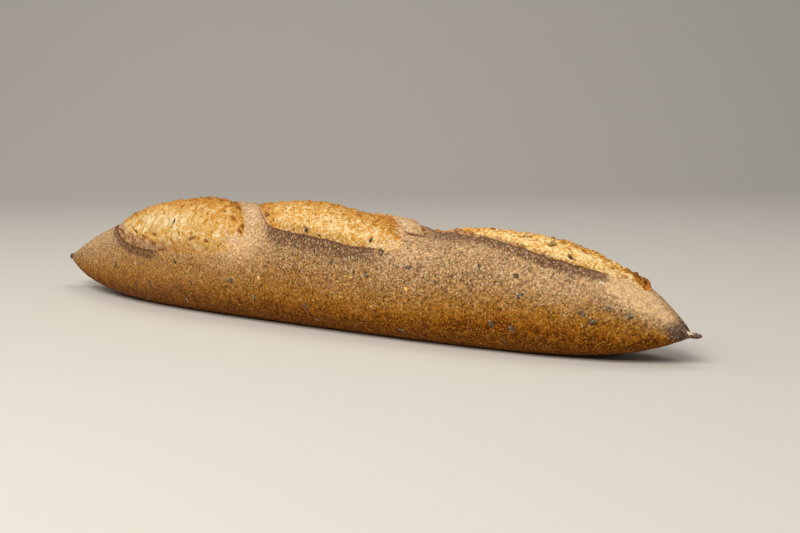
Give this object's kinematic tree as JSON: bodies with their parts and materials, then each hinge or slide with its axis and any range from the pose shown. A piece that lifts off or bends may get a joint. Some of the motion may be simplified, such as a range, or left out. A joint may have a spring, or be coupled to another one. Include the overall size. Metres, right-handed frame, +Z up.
{
  "type": "baguette",
  "caption": "Rustic pointed bread loaf with opened diagonal slashes, raised crust lips, torn crumb and linseeds in the crust.",
  "frame": {"origin": "middle of the loaf's box, on the surface it rests on", "axes": "+X along the loaf towards its blunter, lower end; +Z up; the slashes open towards -Y"},
  "size_m": [0.48, 0.071, 0.068],
  "materials": {
    "crust": "matte baked crust, floury above and glossier below",
    "crumb": "matte torn crumb in the opened slashes",
    "seeds": "satin linseed and toasted grain"
  },
  "bodies": {
    "root": {"baguette": "crust"}
  },
  "joints": []
}
